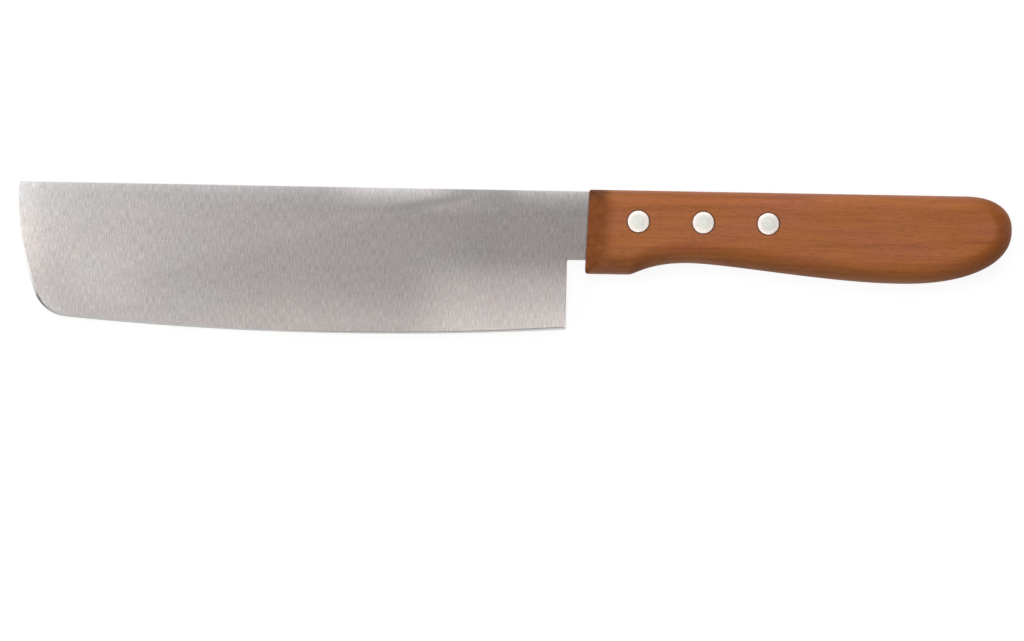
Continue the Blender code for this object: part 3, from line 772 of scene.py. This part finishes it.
# %% [markdown]
# Noise seldom strays from the middle of its range, so one helper carries just its usual range over
# to shares. Colours are given as they look on a screen, and coats are laid one over the other.

# %% Helpers for patterns and colours
NOISE_RANGE = (0.3, 0.7)


def streaks(place, size, detail=2, seed=0):
    """Noise from 0 to 1, with blotches of this size along X, Y and Z."""
    scaled = node(place.id_data, "ShaderNodeMapping",
                  {"Vector": place, "Scale": [1 / s for s in size], "Location": (seed, seed, seed)})
    return node(place.id_data, "ShaderNodeTexNoise", {"Vector": scaled, "Scale": 1, "Detail": detail})


def spread(noise, to_low, to_high):
    """Carry the noise's usual range over to another range."""
    return ranged(noise, *NOISE_RANGE, to_low, to_high)


def seen(red, green, blue):
    """A colour as it is read off a screen, 0 to 255, turned into the linear values of a shader."""
    share = np.array([red, green, blue]) / 255
    linear = np.where(share <= 0.04045, share / 12.92, ((share + 0.055) / 1.055) ** 2.4)
    return (*linear.tolist(), 1)


def tinted(share, first, second, blend="MIX"):
    """Mix two colours by a share, or multiply the first by the second to that share."""
    return beside(share, first, second, kind="ShaderNodeMix", inputs={0: share, 6: first, 7: second},
                  data_type="RGBA", blend_type=blend)


def coated(colour, *coats):
    """The colour under coats of (share, colour as seen)."""
    for share, coat in coats:
        colour = tinted(share, colour, seen(*coat))
    return colour


def parted(vector):
    """The X, Y and Z of a vector."""
    return node(vector.id_data, "ShaderNodeSeparateXYZ", {0: vector}).node.outputs


def length_of(vector):
    """The length of a vector: sqrt(x^2 + y^2 + z^2)."""
    measured = node(vector.id_data, "ShaderNodeVectorMath", {0: vector}, operation="LENGTH")
    return measured.node.outputs["Value"]


def rivet_distance(place):
    """How far a point lies from the axis of the nearest rivet: X is measured from that rivet."""
    x, y, _ = parted(place)
    turns = maths("DIVIDE", maths("SUBTRACT", x, FIRST_RIVET), RIVET_PITCH)
    nearest = maths("MAXIMUM", maths("MINIMUM", maths("ROUND", turns), 2.0), 0.0)
    return length_of(node(place.id_data, "ShaderNodeCombineXYZ", {
        "X": times(maths("SUBTRACT", turns, nearest), RIVET_PITCH), "Y": maths("ADD", y, RIVET_DROP)}))


def new_finish(name, metallic, specular=0.5):
    """A material with one Principled shader, its tree and the place of a point from the datum."""
    material = bpy.data.materials.new(name)
    material.use_nodes = True
    tree = material.node_tree
    shader = tree.nodes["Principled BSDF"]
    fill(shader, {"Metallic": metallic, "Specular IOR Level": specular})
    coordinates = tree.nodes.new("ShaderNodeTexCoord")
    place = node(tree, "ShaderNodeVectorMath", {0: coordinates.outputs["Object"], 1: DATUM},
                 operation="SUBTRACT")
    return material, tree, shader, place


print("a mid grey of 128 is", round(seen(128, 128, 128)[0], 3), "in linear light")

# %% [markdown]
# The steel is ground with a belt that runs from the spine to the edge, so its scratches lie across
# the blade. Each layer of them is noise that is long on Y and thin on X: hairlines, coarser marks,
# fine grooves, a few deep cuts, and broad bands where the belt pressed harder. Such scratches stretch
# every highlight to both sides of them, which is what the anisotropic share says.

# %% Finish: ground steel
STRETCHED = 0.92              # how far the scratches stretch a highlight
BEVEL_ROUGHNESS = 0.28
SCRATCH_DEPTH = 0.00001

steel, tree, shader, place = new_finish("ground_steel", metallic=1)
hairlines = streaks(place, (0.00035, 0.0026, 0.02), detail=3)
marks = streaks(place, (0.0007, 0.008, 0.02), detail=3, seed=7)
speckle = streaks(place, (0.0005, 0.0007, 0.02), detail=3, seed=15)
bands = streaks(place, (0.011, 0.060, 0.02), seed=3)
clouds = streaks(place, (0.022, 0.014, 0.02), detail=3, seed=11)
grooves = streaks(place, (0.00022, 0.0090, 0.02), seed=13)
cuts = ranged(streaks(place, (0.00016, 0.020, 0.02), detail=1, seed=5), 0.68, 0.78, 0, 1)
bevel = node(tree, "ShaderNodeAttribute", attribute_name="sharpened").node.outputs["Fac"]

bare_steel = coated(
    tinted(ranged(clouds, 0.35, 0.65, 0, 1), seen(225, 212, 210), seen(219, 215, 211)),
    (spread(hairlines, 0, 0.86), (172, 165, 162)),
    (spread(speckle, 0, 0.60), (176, 169, 167)),
    (times(cuts, 0.4), (165, 160, 158)))

satin = maths("ADD", spread(hairlines, 0.276, 0.295), spread(bands, 0, 0.015))
relief = maths("SUBTRACT", maths("ADD", grooves, times(marks, 0.8)), times(cuts, 0.5))
fill(shader, {
    "Roughness": between(bevel, satin, BEVEL_ROUGHNESS),
    "Anisotropic": STRETCHED,
    "Tangent": node(tree, "ShaderNodeCombineXYZ", {"X": 1.0}),
    "Normal": raised(relief, SCRATCH_DEPTH, 0.16)})
print("ground_steel:", len(tree.nodes), "nodes")

# %% [markdown]
# The steel's colour carries painted light. It is darkened towards the handle, as painted shade where
# the blade mirrors less light, and brightened in patches as painted highlights and glints: on the
# lower blade by the heel, along the spine, above the edge and on the rounded front. All of this is
# told by where a point lies on the blade, so it stays in its place from whatever side it is seen.
#
# Each painted highlight is a gain in brightness with ramps: some in front of the handle, some below
# the spine. A ramp starts at one distance and ends at another, and names its share at both. The two
# glints further along the spine overlap, and there the stronger one counts.

# %% Paint shade and highlights on the steel
# A ramp of painted shade: the steel's colour is darkened towards the handle.
PAINTED_SHADE_RAMP = (0.085, 0.150, 0.730, 0.850)     # a ramp of brightness in front of the handle
UNDER_SPINE = [(0, 0.0070, 1, 0)]
# Painted highlights on the steel, as gains in brightness with their ramps.
PAINTED_HIGHLIGHTS = {
    "highlight by the heel": (0.40, [(0.036, 0.058, 1, 0)], [(0.018, 0.030, 0, 1)]),
    "highlight above the edge": (0.20, [(0.080, 0.150, 1, 0.15)], [(0.027, 0.043, 0, 1)]),
    "rounded front": (0.20, [(0.148, 0.172, 0, 1)], [(0.018, 0.032, 1, 0)]),
    "spine by the handle": (0.42, [(0.018, 0.028, 1, 0)], UNDER_SPINE),
    "highlight below the spine": (0.05, [(0.036, 0.050, 0, 1), (0.084, 0.104, 1, 0)], [(0.006, 0.016, 0, 1)]),
    "highlight near the front": (0.11, [(0.128, 0.146, 0, 1), (0.150, 0.162, 1, 0)],
                       [(0.012, 0.030, 0.2, 1), (0.0335, 0.0390, 1, 0.1)]),
    "gleam under the crease": (0.13, [(0.022, 0.030, 0, 1), (0.044, 0.052, 1, 0)],
                               [(0.0005, 0.0035, 0.3, 1), (0.0055, 0.0085, 1, 0)])}
# Painted glints along the spine.
PAINTED_SPINE_GLINTS = {
    "half way along": (0.66, [(0.036, 0.052, 0, 1), (0.064, 0.088, 1, 0)], UNDER_SPINE),
    "further on": (0.15, [(0.036, 0.052, 0, 1), (0.105, 0.130, 1, 0)], UNDER_SPINE)}
COOLED = (0.095, 0.160, 0, 1)             # in front of the handle, where the tone grows cooler
COOL_TINT = (0.990, 1.008, 1.010, 1)
SPINE_COOLED = (0.0030, 0.0120, 1, 0)     # below the spine, where a cooler tone along it fades out
SPINE_TINT = (0.962, 1.000, 1.025, 1)

ahead, below = (times(value, -1.0) for value in parted(place)[:2])


def ramped(gain, ramps_ahead, ramps_below=()):
    """A gain times all its ramps."""
    return times(gain, *(soft_ranged(ahead, *ramp) for ramp in ramps_ahead),
                 *(soft_ranged(below, *ramp) for ramp in ramps_below))


gain = maths("MAXIMUM", *(ramped(*area) for area in PAINTED_SPINE_GLINTS.values()))
for area in PAINTED_HIGHLIGHTS.values():
    gain = maths("ADD", gain, ramped(*area))
brightness = times(maths("ADD", gain, 1.0), soft_ranged(ahead, *PAINTED_SHADE_RAMP))
# The steel's colour times its painted shade and painted highlights.
painted_light_steel = tinted(1.0, bare_steel, brightness, "MULTIPLY")
painted_light_steel = tinted(soft_ranged(ahead, *COOLED), painted_light_steel, COOL_TINT, "MULTIPLY")
painted_light_steel = tinted(soft_ranged(below, *SPINE_COOLED), painted_light_steel, SPINE_TINT, "MULTIPLY")
print("painted highlights:", ", ".join([*PAINTED_HIGHLIGHTS, *PAINTED_SPINE_GLINTS]))

# %% [markdown]
# Where the two grinds meet, a fine bright line is painted as a highlight, with a broader band of
# painted shade that leaves the spine at nearly the same place but falls less. A dark line of painted
# shadow lies where the steel enters the wood, and the bevel comes last, because it is whetted through
# all of this.

# %% Paint the crease's highlight and shade, and the shadow at the wood
# The crease's bright line is a painted highlight.
CREASE_FROM, CREASE_SLOPE = 0.0255, 0.302     # in front of the handle, and fall for each metre
CREASE_HALF = 0.00035                         # half the width of its bright line
CREASE_RAMPS = [(0.028, 0.034, 0, 1), (0.050, 0.066, 1, 0)]
# The dull band is painted shade along the crease.
CREASE_SHADE_FROM, CREASE_SHADE_SLOPE = 0.0236, 0.171         # the same for the dull band
CREASE_SHADE_HALF = 0.0022
CREASE_SHADE_RAMPS = [(0.034, 0.041, 0, 1), (0.052, 0.068, 1, 0)]
# A painted shadow on the steel, darkest at the front of the wood.
PAINTED_JOINT_SHADOW = (0, 0.00050, 0.6, 0)                  # a ramp from the front of the wood


def on_line(share, start, slope, half, ramps):
    """The share of a line that leaves the spine at a distance in front of the handle and falls by
    its slope. It fades to nothing at half its width, and along its ramps."""
    off = maths("SUBTRACT", times(maths("SUBTRACT", ahead, start), slope), below)
    return times(ramped(share, ramps), soft_ranged(maths("ABSOLUTE", off), 0, half, 1, 0))


crease_highlight_share = ranged(speckle, 0.35, 0.7, 0, 0.30)
# How far the steel lies in front of the wood, for its painted shadow.
from_wood = maths("SUBTRACT", ahead, times(below, FRONT_SLANT / CHIN_DROP))
# Over the steel: the crease's painted shade and painted highlight, the painted shadow at the wood, and the
# bevel's own colour.
fill(shader, {"Base Color": coated(
    painted_light_steel,
    (on_line(0.62, CREASE_SHADE_FROM, CREASE_SHADE_SLOPE, CREASE_SHADE_HALF, CREASE_SHADE_RAMPS), (150, 145, 143)),
    (on_line(crease_highlight_share, CREASE_FROM, CREASE_SLOPE, CREASE_HALF, CREASE_RAMPS), (228, 222, 220)),
    (soft_ranged(from_wood, *PAINTED_JOINT_SHADOW), (96, 74, 66)),
    (bevel, (208, 206, 204)))})
print("ground_steel with its wear:", len(tree.nodes), "nodes")

# %% [markdown]
# The wood is a fine, even, reddish hardwood, oiled and not varnished. A solid pattern is used, as if
# the handle were really sawn from a plank: growth rings are cylinders round a far-off pith, so they
# show as lengthwise lines on the sides and as arcs on the butt and the front. Fibres and short
# pores follow the length.

# %% Finish: oiled wood
PITH = (0, -0.062, -0.040)    # the tree's centre, seen from the datum
RING = 0.0021                 # one year's growth
WANDER = 2.6                  # how many rings the noise moves a ring by, at most
LATE_POWER = 3.0              # how late in the year the dark wood grows
GRAIN_DEPTH = 0.00004

wood, tree, shader, place = new_finish("oiled_wood", metallic=0, specular=0.4)
wander = streaks(place, (0.060, 0.012, 0.012), seed=2)
from_pith = node(tree, "ShaderNodeVectorMath", {0: place, 1: PITH}, operation="SUBTRACT")
upright = node(tree, "ShaderNodeVectorMath", {0: from_pith, 1: (0, 1, 1)}, operation="MULTIPLY")
year = maths("MULTIPLY_ADD", wander, WANDER, maths("DIVIDE", length_of(upright), RING))
late = maths("POWER", maths("FRACT", year), LATE_POWER)

fibres = streaks(place, (0.009, 0.00030, 0.00030), detail=3, seed=4)
threads = streaks(place, (0.030, 0.0013, 0.0013), seed=9)
tones = streaks(place, (0.050, 0.009, 0.009), seed=6)
flecks = streaks(place, (0.0022, 0.00042, 0.00042), seed=12)
pores = ranged(streaks(place, (0.0012, 0.00020, 0.00020), detail=1, seed=8), 0.60, 0.72, 0, 1)
blush = streaks(place, (0.024, 0.0065, 0.0065), detail=3, seed=19)

sawn_wood = coated(
    tinted(ranged(tones, 0.35, 0.65, 0, 1), seen(189, 102, 29), seen(205, 121, 55)),
    (ranged(blush, 0.42, 0.66, 0, 0.62), (196, 107, 72)),
    (times(late, 0.34), (144, 72, 24)),
    (ranged(threads, 0.5, 0.75, 0, 0.45), (146, 74, 25)),
    (spread(fibres, 0, 0.36), (204, 126, 64)),
    (ranged(flecks, 0.52, 0.70, 0, 0.32), (136, 70, 24)),
    (times(pores, 0.28), (104, 50, 18)))

relief = maths("SUBTRACT", maths("ADD", fibres, threads), times(pores, 1.2))
fill(shader, {"Normal": raised(relief, GRAIN_DEPTH, 0.35)})
print("oiled_wood:", len(tree.nodes), "nodes")

# %% [markdown]
# Where the rounding cuts across the fibres, at the front and the butt, the wood turns darker, in
# patches: partly end grain that drinks more oil, partly painted shade on roundings that turn away
# from the light. The surface's own normal says how far the fibres are cut, since they all run along
# X. A slope of twenty degrees is already enough to open them. Surfaces that face down, which the
# fingers close on, get a darker, olive tone, partly a grip stain and partly painted shade, and the
# chin's rounding a dark band of painted shade. The upper corner at the front has a patch of painted
# shade where the top and front roundings meet, with a border that noise makes uneven. A thin dark
# ring is drawn round each rivet head.

# %% Darken the end grain, and paint shade on the grip and the front corner
BUTT_SHARE = 0.5              # how dark the butt's end grain is, beside the front's
CHIN_DARK = (0.0165, 0.0205)  # below the spine, where the chin's dark band starts
CHIN_EDGE = (0.0230, 0.0246)  # and where it ends
CHIN_FADE = (0.006, 0.022)    # along the handle, over which it fades out
# The front corner's patch of painted shade, where the top and front roundings meet.
CORNER_SHADE_LENGTH = 0.0036         # from the handle's front
CORNER_SHADE_DEPTH = 0.0022          # from the spine line down
CORNER_SHADE_SOFT = 0.0036           # softness of the stain's border
CORNER_SHADE_WANDER = 0.0030         # how far noise moves that border
CORNER_SHADE_SHARE = 0.72
RING_SOLID = 0.00018          # dark ring round a rivet head: where it starts to fade
RING_WIDTH = 0.00060          # and where it ends, from the head's rim
RING_SHARE = 0.42
# Roughness of the open end grain and of the corner's painted shade.
DRY_ROUGHNESS = 0.85          # of the open end grain and the stain

facing_x, facing_y, _ = parted(tree.nodes["Texture Coordinate"].outputs["Normal"])
cut_across = maths("ABSOLUTE", facing_x)
patchy = streaks(place, (0.0040, 0.0016, 0.0016), detail=3, seed=21)
# The open end grain is darkened partly as its own tone and partly as painted shade on the roundings that
# face the front and the butt.
end_grain_and_shade = times(ranged(cut_across, 0.01, 0.28, 0, 1), ranged(cut_across, 0.50, 0.95, 1, 0.8),
               spread(patchy, 0.50, 0.86), ranged(facing_x, -0.01, 0.01, 1, BUTT_SHARE))
# Surfaces that face down are darker: partly a grip stain, partly painted shade.
grip_stain_and_shade = times(ranged(facing_y, -0.75, -0.12, 1, 0), spread(patchy, 0.24, 0.46))

x, y, _ = parted(place)
below = times(y, -1.0)
# A dark band of painted shade on the chin's rounding.
chin = times(soft_ranged(below, *CHIN_DARK, 0, 1), soft_ranged(below, *CHIN_EDGE, 1, 0),
             soft_ranged(x, *CHIN_FADE, 1, 0), spread(patchy, 0.22, 0.42))
border = maths("MULTIPLY_ADD", patchy, CORNER_SHADE_WANDER, -CORNER_SHADE_WANDER / 2)
near_front = soft_ranged(maths("ADD", x, border), CORNER_SHADE_LENGTH, CORNER_SHADE_LENGTH + CORNER_SHADE_SOFT, 1, 0)
near_top = soft_ranged(maths("ADD", y, times(border, 0.5)),
                       -CORNER_SHADE_DEPTH - CORNER_SHADE_SOFT / 2, -CORNER_SHADE_DEPTH + CORNER_SHADE_SOFT / 2, 0, CORNER_SHADE_SHARE)
corner_shade = times(near_front, near_top)
head = HEAD_DIAMETER / 2
ring = soft_ranged(rivet_distance(place), head + RING_SOLID, head + RING_WIDTH, RING_SHARE, 0)

# Over the grain: painted shade on the chin, the grip's stain and painted shade, the end grain with painted
# shade, the corner's painted shade and the dark rings.
fill(shader, {
    "Base Color": coated(sawn_wood, (chin, (112, 55, 12)), (grip_stain_and_shade, (112, 68, 20)),
                         (end_grain_and_shade, (124, 62, 10)), (corner_shade, (86, 48, 18)), (ring, (74, 46, 26))),
    "Roughness": between(maths("MAXIMUM", end_grain_and_shade, corner_shade), spread(fibres, 0.46, 0.58), DRY_ROUGHNESS)})
print("oiled_wood with its end grain:", len(tree.nodes), "nodes")

# %% [markdown]
# The rivet heads were ground on the same belt as the wood round them, so their scratches run along
# the handle. Aluminium is pale and takes a soft shine. A brighter, warmer rim is painted on each head
# as a reflection, brighter than the middle. One material serves all three heads, by a point's
# distance from the nearest rivet's axis.

# %% Finish: ground aluminium
# Where the painted reflection on a head's rim sets in.
REFLECTED_RIM_RANGE = (0.26, 0.46)      # shares of the diameter between which the polished rim sets in

aluminium, tree, shader, place = new_finish("ground_aluminium", metallic=1)
sanding = streaks(place, (0.006, 0.00012, 0.006), detail=3, seed=1)
smears = streaks(place, (0.0022, 0.0012, 0.002), seed=5)
painted_rim_reflection = soft_ranged(rivet_distance(place), *(HEAD_DIAMETER * share for share in REFLECTED_RIM_RANGE), 0, 1)
fill(shader, {
    "Base Color": coated(tinted(spread(smears, 0, 1), seen(200, 197, 189), seen(188, 192, 186)),
                         # The painted reflection on the rim.
                         (painted_rim_reflection, (219, 206, 200)),
                         (ranged(sanding, 0.5, 0.75, 0, 0.4), (164, 164, 163))),
    "Roughness": spread(sanding, 0.30, 0.44),
    "Normal": raised(sanding, SCRATCH_DEPTH, 0.4)})
print("ground_aluminium:", len(tree.nodes), "nodes")

# %% [markdown]
# Each finished piece gets its finish, rides with its body and takes the place of one piece of the
# frame, which is hidden.

# %% Put the pieces on the frame


def dress(mesh, material, stands_for):
    """Give a mesh its finish and put it in the place of a piece of the frame."""
    mesh.materials.clear()
    mesh.materials.append(material)
    piece = placed(mesh.name, mesh)
    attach(piece, "root")
    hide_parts(stands_for)


dress(blade, steel, "blade")
dress(handle, wood, "handle")
for mesh, stands_for in rivets:
    dress(mesh, aluminium, stands_for)
print("dressed:", 2 + len(rivets), "pieces")

# %% [markdown]
# A knife on a white page is lit by large, even lamps. The blade lies almost flat and mirrors what
# hangs over it, so each lamp has its part of the blade: two boxes on the left brighten its front,
# two strips low in the picture brighten the rolled steel above the edge, and one strip on the other
# side follows the spine. The straight middle of the blade mirrors the gap between them and stays
# darker. Two boxes further back light the wood. The sky is bright only low down and to the sides of
# the edge and the spine, where bevel and rounded edges mirror it.

# %% Light the knife
DARK_SKY = 0.04               # brightness of the sky overhead, as the steel mirrors it
SKY_ON_WOOD = 0.05            # brightness of the whole sky, for light that is scattered


def soft_box(name, place, size, radiance):
    """A rectangular lamp that faces the knife. Its power is its radiance times pi times its area."""
    lamp = bpy.data.lights.new(name, "AREA")
    lamp.shape = "RECTANGLE"
    lamp.size, lamp.size_y = size
    lamp.energy = radiance * math.pi * size[0] * size[1]
    box = placed(name, lamp)
    box.location = place
    box.rotation_euler = mathutils.Vector(place).to_track_quat("Z", "Y").to_euler()
    box.visible_camera = False
    print(f"{name}: {lamp.energy:.1f} W")


soft_box("left_box", (-0.50, 0.15, 1.6), (0.5, 0.6), 1.65)
soft_box("far_left_box", (-1.15, 0.0, 1.2), (0.6, 0.9), 3.2)
soft_box("front_strip", (-0.03, -0.29, 1.6), (0.56, 0.2), 4.9)
soft_box("heel_strip", (0.14, -0.29, 1.6), (0.36, 0.2), 4.4)
soft_box("spine_strip", (0.05, 0.25, 1.6), (0.5, 0.16), 2.0)
soft_box("back_box", (0.0, 0.50, 1.6), (0.8, 0.4), 4.2)
soft_box("low_key_box", (0.0, 1.7, 1.0), (1.4, 0.6), 3.8)

world = bpy.data.worlds.new("studio")
bpy.context.scene.world = world
world.use_nodes = True
tree = world.node_tree
rays = tree.nodes.new("ShaderNodeLightPath").outputs
_, y, z = parted(tree.nodes.new("ShaderNodeTexCoord").outputs["Generated"])
low_sky = ranged(z, 0.25, 0.55, 1, DARK_SKY)
side_sky = ranged(maths("ABSOLUTE", y), 0.32, 0.56, DARK_SKY, 1)
mirrored = times(rays["Is Glossy Ray"], maths("MAXIMUM", low_sky, side_sky))
scattered = times(rays["Is Diffuse Ray"], SKY_ON_WOOD)
bright = maths("MAXIMUM", maths("MAXIMUM", mirrored, scattered), rays["Is Camera Ray"])
fill(tree.nodes["Background"], {"Color": (1, 1, 1, 1), "Strength": bright})

# %% [markdown]
# The floor stands in for the white page. Seen directly or in a mirror it glows to plain white, and
# for the light that it scatters back up it is a pale grey.

# %% Lay the floor
FLOOR_SIZE = 14.0
FLOOR_GLOW = 0.90
PAGE, SHOWN_PAGE = (0.80, 0.80, 0.80, 1), (0.22, 0.22, 0.22, 1)

half, ground = FLOOR_SIZE / 2, cad_box[0].z
floor_mesh = bpy.data.meshes.new("floor")
floor_mesh.from_pydata([(-half, -half, ground), (half, -half, ground), (half, half, ground),
                        (-half, half, ground)], [], [(0, 1, 2, 3)])
paper, tree, shader, _ = new_finish("white_paper", metallic=0, specular=0)
rays = tree.nodes.new("ShaderNodeLightPath").outputs
shown = maths("MAXIMUM", rays["Is Camera Ray"], rays["Is Glossy Ray"])
shown = maths("MAXIMUM", shown, rays["Is Transmission Ray"])
fill(shader, {"Roughness": 1, "Base Color": tinted(shown, PAGE, SHOWN_PAGE),
              "Emission Color": (1, 1, 1, 1), "Emission Strength": times(shown, FLOOR_GLOW)})
floor_mesh.materials.append(paper)
floor = placed("floor", floor_mesh)
floor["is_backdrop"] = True
print("floor:", FLOOR_SIZE, "m square")

# %% [markdown]
# The photograph looks straight down, turned by a degree, and its scale follows from the blade's
# usual size. A long lens keeps the thick handle from looking larger than the thin blade.

# %% Set the camera
METRES_PER_PIXEL = 0.00030192
PHOTO_WIDTH = 1024
VIEW_CENTRE = (-0.02269, -0.03938)    # what the middle of the picture shows, from the datum
VIEW_TURN = math.radians(1.037)
LENS, SENSOR = 150, 36        # millimetres

lens = bpy.data.cameras.new("camera")
lens.lens, lens.sensor_width = LENS, SENSOR
distance = METRES_PER_PIXEL * PHOTO_WIDTH * LENS / SENSOR
camera = placed("camera", lens)
camera.location = DATUM + (*VIEW_CENTRE, distance)
camera.rotation_euler = (0, 0, VIEW_TURN)
bpy.context.scene.camera = camera
bpy.context.scene.view_settings.view_transform = "Standard"
print("camera", round(distance, 3), "m above the steel")

# %% [markdown]
# Last, the size of the dressed knife is written beside the size of the frame, so that the two can be
# compared: a finish must not change what the object measures.

# %% Compare the sizes and finish
dressed_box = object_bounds()
for label, box in (("frame", cad_box), ("dressed", dressed_box)):
    print(label, [round((high - low) * 1000, 2) for low, high in zip(*box)], "mm")
